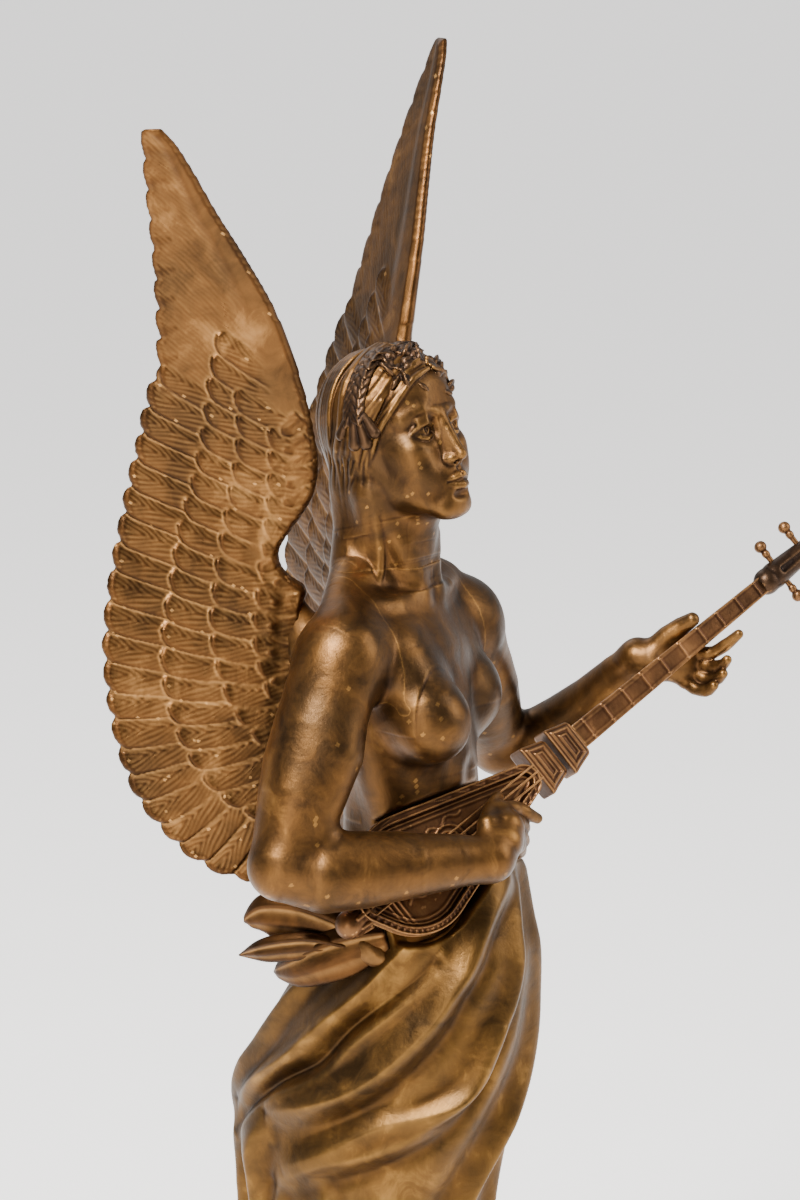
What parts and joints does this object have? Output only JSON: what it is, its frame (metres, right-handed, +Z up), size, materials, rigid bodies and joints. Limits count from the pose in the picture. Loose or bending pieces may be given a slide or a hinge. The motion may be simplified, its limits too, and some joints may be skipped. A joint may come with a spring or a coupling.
{
  "type": "bronze statuette",
  "caption": "Standing winged musician in draped skirt, wings raised, playing a long-necked lute, on a turned stone socle.",
  "frame": {"origin": "centre of the felt's underside, where the statuette stands", "axes": "+Z up through the figure, the figure faces -Y, its left hand is towards +X"},
  "size_m": [0.2189, 0.1643, 0.5461],
  "materials": {
    "bronze": "brown patina with rubbed golden highlights",
    "bronze_wing": "golden brown patina, rubbed on the feather edges",
    "bronze_lute": "reddish brown patina, polished on the rim",
    "bronze_dark": "dark brown patina",
    "stone": "polished dark red stone",
    "felt": "dark green felt",
    "steel": "plain turned steel"
  },
  "bodies": {
    "root": {"felt_pad": "felt", "socle": "stone", "plinth": "bronze_dark", "tie_rod": "steel", "rod_nut": "steel", "rod_washer": "steel", "anchor_plate": "steel", "anchor_nut": "steel", "feet": "bronze", "skirt": "bronze", "hip_sash": "bronze_wing", "sash_pin": "bronze", "waist_pins": "bronze", "torso": "bronze", "neck_pin": "bronze", "head": "bronze", "laurel_wreath": "bronze_dark", "right_arm": "bronze", "left_arm": "bronze", "arm_pins": "bronze", "right_wing": "bronze_wing", "left_wing": "bronze_wing", "wing_studs": "steel", "wing_nuts": "steel", "lute_bowl": "bronze_lute", "lute_soundboard": "bronze_lute", "lute_rim": "bronze_lute", "lute_tail_block": "bronze_lute", "lute_bridge": "bronze_lute", "lute_lower_collar": "bronze_lute", "lute_upper_collar": "bronze_lute", "lute_neck": "bronze_lute", "lute_pegbox": "bronze_dark", "lute_pegs": "bronze_lute", "lute_strings": "bronze_lute", "lute_pins": "bronze_lute"}
  },
  "joints": []
}
